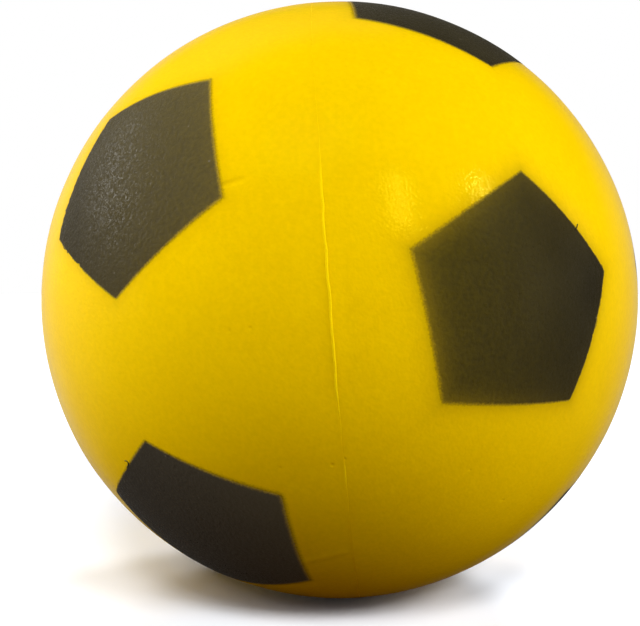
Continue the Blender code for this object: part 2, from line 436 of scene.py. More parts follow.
def makePaintMaterial():
    material, node = newMaterial("sprayed black paint")
    coordinates = node("ShaderNodeTexCoord").outputs["Object"]
    mottle = node("ShaderNodeTexNoise",
                  {"Vector": coordinates, "Scale": 1 / paintFinish["mottleSize"], "Detail": 4.0})
    grain = node("ShaderNodeTexNoise",
                 {"Vector": coordinates, "Scale": 1 / paintFinish["grainSize"], "Detail": 2.0})
    shade = node("ShaderNodeMapRange", (mottle, *narrowNoise))
    black = node("ShaderNodeMix",
                 {0: shade, 6: linear(paintFinish["black"]), 7: linear(paintFinish["grey"])},
                 data_type="RGBA").outputs[2]
    # the yellow shows through where the coat is thin, and at a soft edge
    cover, blur = sprayCover(node, coordinates)
    crisp = node("ShaderNodeMapRange", (blur, *paintFinish["softBlur"], 1.0, 0.0))
    dust = node("ShaderNodeAttribute", attribute_name="overspray").outputs["Fac"]
    misty = node("ShaderNodeMath", (cover, dust), operation="MAXIMUM")
    solid = node("ShaderNodeMath", (misty, crisp), operation="MAXIMUM")
    grainy = node("ShaderNodeMapRange", (grain, *narrowNoise, *paintFinish["thinUneven"]))
    thin = node("ShaderNodeAttribute", attribute_name="thinCoat").outputs["Fac"]
    showing = node("ShaderNodeMath", (thin, grainy), operation="MULTIPLY")
    olive = node("ShaderNodeMix",
                 {0: showing, 6: black, 7: linear(paintFinish["olive"])}, data_type="RGBA").outputs[2]
    # dust and wear, with painted sheen and light that lift the left and the lower patches
    wearAndSheenShare = node("ShaderNodeAttribute", attribute_name="wornCoat").outputs["Fac"]
    worn = node("ShaderNodeMix",
                {0: wearAndSheenShare, 6: olive, 7: linear(paintFinish["worn"])}, data_type="RGBA").outputs[2]
    bare = node("ShaderNodeAttribute", attribute_name="bareFringe").outputs["Fac"]
    coat = node("ShaderNodeMath", (solid, bare), operation="SUBTRACT", use_clamp=True)
    coated = node("ShaderNodeMix",
                  {0: coat, 6: linear(skinFinish["yellow"]), 7: worn}, data_type="RGBA").outputs[2]
    # pale flecks of dust, far apart
    cells = node("ShaderNodeTexVoronoi", {"Vector": coordinates, "Scale": 1 / paintFinish["fleckSize"]})
    chosen = node("ShaderNodeSeparateColor", {0: cells.outputs["Color"]})
    rare = node("ShaderNodeMath", (chosen, paintFinish["fleckRarity"]), operation="GREATER_THAN")
    small = node("ShaderNodeMapRange", (cells.outputs["Distance"], *paintFinish["fleckEdge"], 1.0, 0.0))
    fleck = node("ShaderNodeMath", (rare, small), operation="MULTIPLY")
    colour = node("ShaderNodeMix",
                  {0: fleck, 6: coated, 7: linear(paintFinish["fleck"])}, data_type="RGBA").outputs[2]
    relief = node("ShaderNodeBump",
                  {"Strength": 1.0, "Distance": paintFinish["grainDepth"], "Height": grain})
    scuffs = node("ShaderNodeTexNoise", {
        "Vector": coordinates,
        "Scale": 1 / paintFinish["scuffSize"],
        "Detail": 2.0,
        "Distortion": paintFinish["scuffBend"],
    })
    rough = node("ShaderNodeMapRange",
                 (scuffs, *paintFinish["scuffFrom"], paintFinish["roughHigh"], paintFinish["roughLow"]))
    shader = node("ShaderNodeBsdfPrincipled", {
        "Base Color": colour,
        "Roughness": rough,
        "IOR": plasticIor,
        "Specular IOR Level": paintFinish["specular"],
        "Sheen Weight": paintFinish["sheen"],
        "Sheen Roughness": paintFinish["sheenRough"],
        "Normal": relief,
    })
    node("ShaderNodeOutputMaterial", {"Surface": shader})
    return material


# Bare foam at the flash: paler and matt, with open pores where it was torn off
foamFinish = {
    "yellow": "#FFDE00",
    "deepYellow": "#FFD600",
    "poreSize": 0.8 * mm,
    "poreDepth": 0.05 * mm,
    "rough": 0.8,
    "specular": 0.05,
}


def makeFoamMaterial():
    material, node = newMaterial("bare yellow foam")
    coordinates = node("ShaderNodeTexCoord").outputs["Object"]
    pores = node("ShaderNodeTexVoronoi", {"Vector": coordinates, "Scale": 1 / foamFinish["poreSize"]})
    colour = node("ShaderNodeMix",
                  {0: pores, 6: linear(foamFinish["deepYellow"]), 7: linear(foamFinish["yellow"])},
                  data_type="RGBA").outputs[2]
    relief = node("ShaderNodeBump",
                  {"Strength": 1.0, "Distance": foamFinish["poreDepth"], "Height": pores})
    shader = node("ShaderNodeBsdfPrincipled", {
        "Base Color": colour,
        "Roughness": foamFinish["rough"],
        "IOR": plasticIor,
        "Specular IOR Level": foamFinish["specular"],
        "Normal": relief,
    })
    node("ShaderNodeOutputMaterial", {"Surface": shader})
    return material


skinMaterial = makeSkinMaterial()
paintMaterial = makePaintMaterial()
foamMaterial = makeFoamMaterial()
print("materials made")


# A fold, a crease and pits in the skin, placed by pixels of the photograph
skinMarks = [
    {"path": [(299, 563), (316, 559), (333, 555), (354, 549)], "halfWidth": 2.2 * mm, "height": 0.13 * mm},
    {"path": [(221, 186), (232, 182.5), (247, 178)], "halfWidth": 1.3 * mm, "height": -0.24 * mm},
]
pits = {
    "pixels": [(250, 328), (229, 331), (470, 470), (503, 500), (280, 468), (332, 465), (345, 459)],
    "hidden": 9,          # on the side that the photograph doesn't show
    "radius": 0.75 * mm,
    "depth": 0.22 * mm,
    "sizes": (0.6, 1.0),  # shares of the radius and the depth
    "seed": 4,
}
markShape = {
    "under": 0.5 * mm,    # how far under the surface a point still belongs to it
    "margin": 1.0 * mm,   # finer faces reach this far past a mark
    "cuts": (2, 1),
    "endShare": 0.03,
    "taper": 2.2,         # how soon a mark has its full height
}


def markPaths():
    marks = []
    for mark in skinMarks:
        spots = [np.array(ballSpot(pixel)) * ball["radius"] for pixel in mark["path"]]
        marks.append((spots, mark["halfWidth"], mark["height"]))
    spots = [np.array(ballSpot(pixel)) * ball["radius"] for pixel in pits["pixels"]]
    draw = np.random.default_rng(pits["seed"])
    for side in draw.normal(size=(pits["hidden"], 3)):
        away = np.array([side[0], -abs(side[1]), side[2]])
        spots.append(away / np.linalg.norm(away) * ball["radius"])
    for spot in spots:
        size = draw.uniform(*pits["sizes"])
        marks.append(([spot], pits["radius"] * size, -pits["depth"] * size))
    return marks


def nearPath(points, spots):
    # distance of every point to a path, and how far along the path that is
    best = np.full(len(points), np.inf)
    share = np.full(len(points), 0.5)
    if len(spots) == 1:
        return np.linalg.norm(points - spots[0], axis=1), share
    for i in range(len(spots) - 1):
        run = spots[i + 1] - spots[i]
        along = np.clip((points - spots[i]) @ run / (run @ run), 0, 1)
        distance = np.linalg.norm(points - spots[i] - along[:, None] * run, axis=1)
        closer = distance < best
        best = np.where(closer, distance, best)
        share = np.where(closer, (i + along) / (len(spots) - 1), share)
    return best, share


def pointsOf(mesh):
    points = np.empty(len(mesh.vertices) * 3)
    mesh.vertices.foreach_get("co", points)
    return points.reshape(-1, 3)


def unitRows(rows):
    return rows / np.linalg.norm(rows, axis=1)[:, None]


def refineNearMarks(mesh, marks, cuts):
    # finer faces where a mark is narrower than the faces around it
    points = pointsOf(mesh)
    wanted = np.zeros(len(points), bool)
    outer = np.linalg.norm(points, axis=1) > ball["radius"] - markShape["under"]
    for spots, halfWidth, _ in marks:
        wanted |= outer & (nearPath(points, spots)[0] < halfWidth + markShape["margin"])
    if not wanted.any():
        return
    work = bmesh.new()
    work.from_mesh(mesh)
    edges = [e for e in work.edges if wanted[e.verts[0].index] and wanted[e.verts[1].index]]
    bmesh.ops.subdivide_edges(work, edges=edges, cuts=cuts, use_grid_fill=True)
    work.to_mesh(mesh)
    work.free()


def pressMarks(mesh, marks):
    points = pointsOf(mesh)
    outward = unitRows(points)
    for spots, halfWidth, height in marks:
        distance, share = nearPath(points, spots)
        profile = np.clip(1 - (distance / halfWidth) ** 2, 0, None) ** 2
        run = np.clip(share, markShape["endShare"], 1 - markShape["endShare"])
        taper = np.clip(np.sin(np.pi * run) * markShape["taper"], 0, 1)
        points = points + outward * (height * profile * taper)[:, None]
    mesh.vertices.foreach_set("co", points.ravel())


# Where the paint lies, read from the solids
patchNames = sorted(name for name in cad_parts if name.startswith("pentagon_"))
cornerCount = 5


def patchCorners(name):
    # the farthest points of a patch, counterclockwise seen from outside, in the mould's axes
    inverse = np.array(mouldMatrix.inverted())
    points = pointsOf(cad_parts[name].data) @ inverse[:3, :3].T + inverse[:3, 3]
    ways = unitRows(points)
    middle = ways.mean(0)
    middle /= np.linalg.norm(middle)
    side = np.cross(middle, (1.0, 0.0, 0.0))
    side /= np.linalg.norm(side)
    turns = np.arctan2(ways @ np.cross(middle, side), ways @ side)
    reach = np.arccos(np.clip(ways @ middle, -1, 1))
    corners = []
    for _ in range(cornerCount):
        pick = int(np.argmax(reach))
        corners.append((turns[pick], ways[pick]))
        apart = np.abs((turns - turns[pick] + np.pi) % math.tau - np.pi)
        reach = np.where(apart < math.pi / cornerCount, 0, reach)
    return np.array([way for _, way in sorted(corners, key=lambda corner: corner[0])])


# degrees that a patch shows further round towards the camera than its solid does
patchNudge = {"pentagon_right_3": 1.5}


def nudged(corners, degrees):
    toCamera = mouldMatrix.to_3x3().transposed() @ (Vector(photoCamera["place"]) - ballCentre)
    axis = Vector(corners.mean(0)).cross(toCamera)
    return corners @ np.array(Matrix.Rotation(math.radians(degrees), 3, axis)).T


patches = {name: nudged(patchCorners(name), patchNudge.get(name, 0)) for name in patchNames}

# Near the seam the stencil stood off the ball, so edges are soft there and ragged far from it
spray = {
    "softAt": 0.15,        # distance from the seam plane, in ball radii
    "crispAt": 0.95,
    "softBlur": 1.75,      # in millimetres, as the attribute holds them
    "crispBlur": 0.12,
    "coveredAt": 0.72,
    # how olive the coat is and how much wear and painted sheen it has nearest the seam, how much less
    # where it covers, and how much yellow is left bare inside an edge
    "coat": {"olive": 0.25, "worn": 0.1, "fade": 0.9, "fringe": 0.03},
    "coatOf": {
        "pentagon_right_1": {"olive": 0.05, "worn": 0.0, "fade": 0.5, "fringe": 0.0},
        "pentagon_right_2": {"olive": 0.42, "worn": 0.03, "fade": 1.0, "fringe": 0.24},
        "pentagon_left_4": {"olive": 0.0, "worn": 0.60, "fade": 0.85, "fringe": 0.0},
        "pentagon_left_5": {"olive": 0.58, "worn": 0.34, "fade": 0.85, "fringe": 0.04},
    },
    "fringeReach": 2.7,    # millimetres in which the bare yellow ends
    "fringeFall": 2.5,     # how fast it goes away from the seam
    # black dust on the skin at an outline, and millimetres in which it ends
    "dust": (0.20, 2.0),
    "dustOf": {
        "pentagon_right_2": (0.36, 2.8),
        "pentagon_left_4": (0.05, 2.0),
        "pentagon_left_5": (0.20, 1.7),
    },
}


def writeValues(mesh, name, values):
    layer = mesh.attributes.new(name, "FLOAT", "POINT")
    layer.data.foreach_set("value", values.astype(np.float32))


def paintSpray(mesh, coat):
    # per point: depth inside the nearest patch outline, softness of the edge there, state of the coat
    points = pointsOf(mesh)
    ways = unitRows(points)
    depth = np.full(len(points), -np.inf)
    dust = np.zeros(len(points))
    for name, corners in patches.items():
        edges = unitRows(np.cross(corners, np.roll(corners, -1, axis=0)))
        inside = np.arcsin(np.clip(ways @ edges.T, -1, 1)).min(axis=1) * ball["radius"] / mm
        depth = np.maximum(depth, inside)
        amount, reach = spray["dustOf"].get(name, spray["dust"])
        dust = np.maximum(dust, amount * np.exp(np.minimum(inside, 0) / reach))
    fromSeam = np.abs(ways[:, 2]) - spray["softAt"]
    far = np.clip(fromSeam / (spray["crispAt"] - spray["softAt"]), 0, 1)
    covered = np.clip(fromSeam / (spray["coveredAt"] - spray["softAt"]), 0, 1)
    writeValues(mesh, "sprayDepth", depth)
    writeValues(mesh, "sprayBlur", spray["softBlur"] + (spray["crispBlur"] - spray["softBlur"]) * far)
    left = np.maximum(1 - coat["fade"] * covered, 0)
    writeValues(mesh, "thinCoat", coat["olive"] * left)
    writeValues(mesh, "wornCoat", coat["worn"] * left)
    writeValues(mesh, "overspray", dust)
    inner = np.clip(depth, 0, 1) * np.exp(-np.maximum(depth, 0) / spray["fringeReach"])
    writeValues(mesh, "bareFringe", coat["fringe"] * (1 - far) ** spray["fringeFall"] * inner)


# Beside the tallest flash, painted shade on the left half and painted light on the right half
seamPaintedSpans = {
    "stretches": [(79, 102), (238, 262)],   # degrees from the top over the front
    "fade": 5,                              # degrees that a stretch takes to begin and end
    "left": (-0.6, 3.5 * mm),               # share of the painted shade on the left and painted light on the right, and how far it reaches
    "right": (0.42, 5.0 * mm),
}


def paintShadingBesideSeam(mesh, side):
    points = pointsOf(mesh)
    turn = np.degrees(np.arctan2(points[:, 1], points[:, 0])) % 360
    share = np.zeros(len(points))
    for begin, end in seamPaintedSpans["stretches"]:
        inside = np.minimum(turn - begin, end - turn) / seamPaintedSpans["fade"]
        share = np.maximum(share, np.clip(inside, 0, 1))
    amount, reach = seamPaintedSpans[side]
    near = np.clip(1 - np.abs(points[:, 2]) / reach, 0, 1)
    writeValues(mesh, "seamTint", amount * near * share)


creaseAngle = 60    # degrees from which an edge stays sharp


def finishPiece(piece, slot, *nodes):
    # from the mould's axes to the ball's place, flat where it lies, and onto the frame
    mesh = piece.data
    mesh.transform(mouldMatrix)
    points = pointsOf(mesh)
    points[:, 2] = np.maximum(points[:, 2], 0)
    mesh.vertices.foreach_set("co", points.ravel())
    mesh.polygons.foreach_set("use_smooth", np.ones(len(mesh.polygons), bool))
    mesh.set_sharp_from_angle(angle=math.radians(creaseAngle))
    mesh.update()
    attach(piece, "root")
    if nodes:
        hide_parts(*nodes)


# Skins, core and films are each a grid about its middle that is bent into shape
def pointGrid(node, width, height, columns, rows):
    across = node("ShaderNodeMath", (columns, 1.0), operation="ADD")
    grid = node("GeometryNodeMeshGrid", {
        "Size X": width,
        "Size Y": height,
        "Vertices X": across,
        "Vertices Y": rows + 1,
    })
    return grid, node("ShaderNodeSeparateXYZ", (node("GeometryNodeInputPosition"),)).outputs


def roundWay(node, turn):
    across = node("ShaderNodeMath", (turn,), operation="COSINE")
    along = node("ShaderNodeMath", (turn,), operation="SINE")
    return node("ShaderNodeCombineXYZ", (across, along))


def tippedWay(node, way, angle):
    share = node("ShaderNodeMath", (angle,), operation="COSINE")
    level = node("ShaderNodeVectorMath", {0: way, "Scale": share}, operation="SCALE")
    rise = node("ShaderNodeMath", (angle,), operation="SINE")
    high = node("ShaderNodeCombineXYZ", {2: rise})
    return node("ShaderNodeVectorMath", (level, high), operation="ADD")


# The two half skins, each a shell of revolution about the mould's axis
skin = {
    "wall": 1.5 * mm,
    "lipRound": 0.02 * mm,
    "seamGap": 0.34 * mm,    # from the seam plane to a half's edge
    "band": 8 * mm,          # finer rows beside the seam
    "columns": 480,
    "rows": {"body": 112, "band": 26, "lip": 5, "wall": 1, "inner": 14},
    "weld": 0.002 * mm,
}


def buildHalfShell():
    sizes = floats("Radius", "Wall", "Lip Round", "Seam Gap", "Band")
    tree, node, given = newTree("halfShell", {
        **sizes, "Columns": "Int", "Half Turn": "Vector", "Material": "Material",
    })
    rowCount = sum(skin["rows"].values())
    ends = np.cumsum(list(skin["rows"].values())) / rowCount
    grid, place = pointGrid(node, math.tau, 1.0, given["Columns"], rowCount)
    along = node("ShaderNodeMath", (place["Y"], 0.5), operation="ADD")
    turn = node("ShaderNodeMath", (place["X"], -1.0), operation="MULTIPLY")
    way = roundWay(node, turn)
    finalWay = node("ShaderNodeVectorRotate", {"Vector": way, "Rotation": given["Half Turn"]},
                    rotation_type="EULER_XYZ")
    opening = node("GeometryNodeGroup", {"Way": finalWay}, node_tree=seamOpening)
    gapHere = node("ShaderNodeMath", (opening, given["Seam Gap"]), operation="MULTIPLY")

    # angles above the seam plane where the stretches of the section meet
    gap = node("ShaderNodeMath", (gapHere, given["Radius"]), operation="DIVIDE")
    lipWide = node("ShaderNodeMath", (given["Lip Round"], given["Radius"]), operation="DIVIDE")
    lipTop = node("ShaderNodeMath", (gap, lipWide), operation="ADD")
    bandTop = node("ShaderNodeMath", (given["Band"], given["Radius"]), operation="DIVIDE")
    bandRun = node("ShaderNodeMath", (lipTop, bandTop), operation="SUBTRACT")
    innerRun = node("ShaderNodeMath", (math.pi / 2, gap), operation="SUBTRACT")

    body = node("ShaderNodeMapRange", (along, 0.0, ends[0], math.pi / 2, bandTop))
    band = node("ShaderNodeMapRange", (along, ends[0], ends[1], 0.0, bandRun))
    lip = node("ShaderNodeMapRange", (along, ends[1], ends[2], 0.0, math.pi / 2))
    wall = node("ShaderNodeMapRange", (along, ends[2], ends[3]))
    inner = node("ShaderNodeMapRange", (along, ends[3], 1.0, 0.0, innerRun))

    outerAngle = node("ShaderNodeMath", (body, band), operation="ADD")
    shellAngle = node("ShaderNodeMath", (outerAngle, inner), operation="ADD")
    lipSine = node("ShaderNodeMath", (lip,), operation="SINE")
    lipDown = node("ShaderNodeMath", (lipSine, lipWide), operation="MULTIPLY")
    angle = node("ShaderNodeMath", (shellAngle, lipDown), operation="SUBTRACT")

    lipCosine = node("ShaderNodeMath", (lip,), operation="COSINE")
    lipFall = node("ShaderNodeMath", (1.0, lipCosine), operation="SUBTRACT")
    lipIn = node("ShaderNodeMath", (lipFall, given["Lip Round"]), operation="MULTIPLY")
    wallRun = node("ShaderNodeMath", (given["Wall"], given["Lip Round"]), operation="SUBTRACT")
    wallIn = node("ShaderNodeMath", (wall, wallRun), operation="MULTIPLY")
    lipRadius = node("ShaderNodeMath", (given["Radius"], lipIn), operation="SUBTRACT")
    radius = node("ShaderNodeMath", (lipRadius, wallIn), operation="SUBTRACT")

    unit = tippedWay(node, way, angle)
    spot = node("ShaderNodeVectorMath", {0: unit, "Scale": radius}, operation="SCALE")
    turned = node("GeometryNodeSetPosition", {"Geometry": grid, "Position": spot})
    closed = node("GeometryNodeMergeByDistance", {"Geometry": turned, "Distance": skin["weld"]})
    placed = node("GeometryNodeTransform", {"Geometry": closed, "Rotation": given["Half Turn"]})
    real = node("GeometryNodeGroup", {"Geometry": placed}, node_tree=ballSurface)
    return closeShape(tree, node, given, real)


def makeSkins():
    tree = buildHalfShell()
    marks = markPaths()
    for side, halfTurn in (("right", 0.0), ("left", math.pi)):
        piece = runTree("foamSkin." + side, tree, {
            **skin,
            "radius": ball["radius"],
            "halfTurn": (halfTurn, 0.0, 0.0),
            "material": skinMaterial,
        })
        for cuts in markShape["cuts"]:
            refineNearMarks(piece.data, marks, cuts)
        pressMarks(piece.data, marks)
        paintSpray(piece.data, spray["coat"])
        paintShadingBesideSeam(piece.data, side)
        finishPiece(piece, "yellow_skin", "skin_" + side)
        print("skin", side, len(piece.data.polygons), "faces")


# The foam inside, whose flash shows as a fine line between the halves
core = {
    "coreRadius": 98.2 * mm,
    "finHalf": 0.44 * mm,
    "finHeight": 0.30 * mm,
    "recess": 0.02 * mm,     # the flash starts this far under the skin's surface
    "closedRecess": 0.15 * mm,
    "columns": 900,
    "rows": {"crown": 8, "wall": 2, "body": 16},   # from the flash to either pole
    "weld": 0.002 * mm,
}


def buildFoamCore():
    sizes = floats("Radius", "Core Radius", "Fin Half", "Fin Height", "Recess", "Closed Recess")
    tree, node, given = newTree("foamCore", {**sizes, "Columns": "Int", "Material": "Material"})
    rowCount = sum(core["rows"].values())
    ends = np.cumsum(list(core["rows"].values())) / rowCount
    grid, place = pointGrid(node, math.tau, 2.0, given["Columns"], 2 * rowCount)
    side = node("ShaderNodeMath", (place["Y"],), operation="SIGN")
    along = node("ShaderNodeMath", (place["Y"],), operation="ABSOLUTE")
    way = roundWay(node, place["X"])
    opening = node("GeometryNodeGroup", {"Way": way}, node_tree=seamOpening)
    finHere = node("ShaderNodeMath", (opening, given["Fin Half"]), operation="MULTIPLY")

    crown = node("ShaderNodeMapRange", (along, 0.0, ends[0]))
    wall = node("ShaderNodeMapRange", (along, ends[0], ends[1]))
    body = node("ShaderNodeMapRange", (along, ends[1], 1.0))
    finAngle = node("ShaderNodeMath", (finHere, given["Radius"]), operation="DIVIDE")
    bodyRun = node("ShaderNodeMath", (math.pi / 2, finAngle), operation="SUBTRACT")
    crownAngle = node("ShaderNodeMath", (crown, finAngle), operation="MULTIPLY")
    away = node("ShaderNodeMath", (body, bodyRun, crownAngle), operation="MULTIPLY_ADD")
    angle = node("ShaderNodeMath", (away, side), operation="MULTIPLY")

    # the flash bulges from just under the skin's surface to its height there
    flash = node("GeometryNodeGroup", {"Way": way}, node_tree=flashShare)
    proud = node("ShaderNodeMath",
                 (flash, given["Fin Height"], given["Recess"]), operation="MULTIPLY_ADD")
    halfTurn = node("ShaderNodeMath", (crown, math.pi), operation="MULTIPLY")
    wave = node("ShaderNodeMath", (halfTurn,), operation="COSINE")
    bulge = node("ShaderNodeMapRange", (wave, -1.0, 1.0))
    recess = node("ShaderNodeMapRange",
                  (opening, surface["closedShare"], 1.0, given["Closed Recess"], given["Recess"]))
    base = node("ShaderNodeMath", (given["Radius"], recess), operation="SUBTRACT")
    top = node("ShaderNodeMath", (proud, bulge, base), operation="MULTIPLY_ADD")
    drop = node("ShaderNodeMath", (base, given["Core Radius"]), operation="SUBTRACT")
    fall = node("ShaderNodeMath", (wall, drop), operation="MULTIPLY")
    radius = node("ShaderNodeMath", (top, fall), operation="SUBTRACT")
    unit = tippedWay(node, way, angle)
    spot = node("ShaderNodeVectorMath", {0: unit, "Scale": radius}, operation="SCALE")
    turned = node("GeometryNodeSetPosition", {"Geometry": grid, "Position": spot})
    closed = node("GeometryNodeMergeByDistance", {"Geometry": turned, "Distance": core["weld"]})
    real = node("GeometryNodeGroup", {"Geometry": closed}, node_tree=ballSurface)
    return closeShape(tree, node, given, real)


def makeCore():
    values = {**core, "radius": ball["radius"], "material": foamMaterial}
    piece = runTree("foamBody", buildFoamCore(), values)
    finishPiece(piece, "yellow_foam", "foam_core")
    print("foam body", len(piece.data.polygons), "faces")


# The twelve sprayed pentagons, one tree for all
film = {
    "lift": 0.02 * mm,
    "thickness": 0.05 * mm,
    "edgeFall": 24,          # the higher, the nearer to its edge a film thins out
    "cornerSteps": 5,
    "cornerRound": 1.1 * mm,
    "cornerRoundOf": {
        "pentagon_left_4": 2.4 * mm,
        "pentagon_right_3": 0.4 * mm,
        "pentagon_right_pole": 0.4 * mm,
    },
    "ragged": 0.8 * mm,
    "raggedSize": 1.9 * mm,
    "raggedRough": 0.6,
    "raggedAt": 0.72,        # distance from the seam plane, in ball radii, from which it is full
    "columns": 480,
    "topRows": 34,
    "underRows": 6,
    "underFrom": 0.001,      # share of the way back under a film that still counts as its edge
    "weld": 0.001 * mm,
}


def buildSprayFilm():
    sizes = floats("Radius", "Lift", "Thickness", "Corner Round", "Ragged", "Ragged Size")
    tree, node, given = newTree("sprayFilm", {
        "Outline": "Object", "Centre": "Vector", **sizes, "Columns": "Int", "Material": "Material",
    })
    thread = node("GeometryNodeObjectInfo", {"Object": given["Outline"]})
    straight = node("GeometryNodeMeshToCurve", {"Mesh": thread.outputs["Geometry"]})
    rounded = node("GeometryNodeFilletCurve", {
        "Curve": straight,
        "Count": film["cornerSteps"],
        "Radius": given["Corner Round"],
        "Limit Radius": True,
    }, mode="POLY")
    outline = node("GeometryNodeResampleCurve", {"Curve": rounded, "Count": given["Columns"]})

    rowCount = film["topRows"] + film["underRows"]
    topEnd = film["topRows"] / rowCount
    grid, place = pointGrid(node, 1.0, 1.0, given["Columns"], rowCount)
    around = node("ShaderNodeMath", (place["X"], 0.5), operation="ADD")
    along = node("ShaderNodeMath", (place["Y"], 0.5), operation="ADD")
    sample = node("GeometryNodeSampleCurve", {"Curves": outline, "Factor": around}, mode="FACTOR")
    edge = sample.outputs["Position"]

    # ragged only far from the seam
    edgePlace = node("ShaderNodeSeparateXYZ", (edge,)).outputs
    fromSeam = node("ShaderNodeMath", (edgePlace["Z"],), operation="ABSOLUTE")
    seamShare = node("ShaderNodeMath", (fromSeam, given["Radius"]), operation="DIVIDE")
    finer = node("ShaderNodeMath", (1.0, given["Ragged Size"]), operation="DIVIDE")
    chips = node("ShaderNodeTexNoise", {
        "Vector": edge,
        "Scale": finer,
        "Detail": 3.0,
        "Roughness": film["raggedRough"],
    })
    swing = node("ShaderNodeMapRange", (chips, *middleNoise, -1.0, 1.0))
    raggedHere = node("ShaderNodeMapRange",
                      (seamShare, spray["softAt"], film["raggedAt"], 0.0, given["Ragged"]))
    step = node("ShaderNodeMath", (swing, raggedHere), operation="MULTIPLY")
    spoke = node("ShaderNodeVectorMath", (edge, given["Centre"]), operation="SUBTRACT")
    spokeWay = node("ShaderNodeVectorMath", (spoke,), operation="NORMALIZE")
    chipped = node("ShaderNodeVectorMath", {0: spokeWay, "Scale": step}, operation="SCALE")
    reach = node("ShaderNodeVectorMath", (spoke, chipped), operation="ADD")

    out = node("ShaderNodeMapRange", (along, 0.0, topEnd))
    back = node("ShaderNodeMapRange", (along, topEnd, 1.0))
    ring = node("ShaderNodeMath", (out, back), operation="SUBTRACT")
    ringReach = node("ShaderNodeVectorMath", {0: reach, "Scale": ring}, operation="SCALE")
    flat = node("ShaderNodeVectorMath", (given["Centre"], ringReach), operation="ADD")
    way = node("ShaderNodeVectorMath", (flat,), operation="NORMALIZE")

    # the coat thins out over its last few millimetres, and the underside lies on the skin
    sharp = node("ShaderNodeMath", (ring, film["edgeFall"]), operation="POWER")
    full = node("ShaderNodeMath", (1.0, sharp), operation="SUBTRACT")
    upper = node("ShaderNodeMath", (back, film["underFrom"]), operation="LESS_THAN")
    coat = node("ShaderNodeMath", (full, upper), operation="MULTIPLY")
    base = node("ShaderNodeMath", (given["Radius"], given["Lift"]), operation="ADD")
    radius = node("ShaderNodeMath", (coat, given["Thickness"], base), operation="MULTIPLY_ADD")
    spot = node("ShaderNodeVectorMath", {0: way, "Scale": radius}, operation="SCALE")

    laid = node("GeometryNodeSetPosition", {"Geometry": grid, "Position": spot})
    closed = node("GeometryNodeMergeByDistance", {"Geometry": laid, "Distance": film["weld"]})
    real = node("GeometryNodeGroup", {"Geometry": closed}, node_tree=ballSurface)
    return closeShape(tree, node, given, real)


def makeFilms():
    tree = buildSprayFilm()
    marks = markPaths()
    for name in patchNames:
        corners = patches[name] * ball["radius"]
        guide = guideObject("outline", [[tuple(corner) for corner in corners]], True)
        piece = runTree(name.replace("pentagon_", "paintPatch."), tree, {
            **film,
            "outline": guide,
            "centre": tuple(corners.mean(0)),
            "radius": ball["radius"],
            "cornerRound": film["cornerRoundOf"].get(name, film["cornerRound"]),
            "material": paintMaterial,
        })
        bpy.data.objects.remove(guide)
        pressMarks(piece.data, marks)
        paintSpray(piece.data, spray["coatOf"].get(name, spray["coat"]))
        finishPiece(piece, "black_paint", name)
    print("paint patches", len(patchNames))


# Fibres that dried in the paint, each along pixels of the photograph
fibre = {
    "paths": [
        [(574.6, 230.2), (576.4, 227.6), (577.4, 224.2)],
        [(125.0, 460.6), (127.7, 461.5), (128.6, 464.2), (127.2, 467.4)],
    ],
    "lift": 0.05 * mm,
    "radius": 0.17 * mm,
    "steps": 14,
    "sides": 8,
}


def buildFibre():
    tree, node, given = newTree("paintFibre", {
        "Path": "Object", "Radius": "Float", "Steps": "Int", "Sides": "Int", "Material": "Material",
    })
    path = node("GeometryNodeObjectInfo", {"Object": given["Path"]}, transform_space="RELATIVE")
    thread = node("GeometryNodeMeshToCurve", {"Mesh": path.outputs["Geometry"]})
    smooth = node("GeometryNodeCurveSplineType", {"Curve": thread}, spline_type="CATMULL_ROM")
    even = node("GeometryNodeResampleCurve", {"Curve": smooth, "Count": given["Steps"]})
    ring = node("GeometryNodeCurvePrimitiveCircle",
                {"Resolution": given["Sides"], "Radius": given["Radius"]}).outputs["Curve"]
    tube = node("GeometryNodeCurveToMesh", {"Curve": even, "Profile Curve": ring, "Fill Caps": True})
    return closeShape(tree, node, given, tube)


def makeFibres():
    reach = ball["radius"] + fibre["lift"]
    threads = [[tuple(ballSpot(pixel) * reach) for pixel in path] for path in fibre["paths"]]
    guide = guideObject("threads", threads, False)
    piece = runTree("paintFibres", buildFibre(), {**fibre, "path": guide, "material": paintMaterial})
    bpy.data.objects.remove(guide)
    finishPiece(piece, "black_paint")
    print("fibres", len(threads))


makeSkins()
makeCore()
makeFilms()
makeFibres()


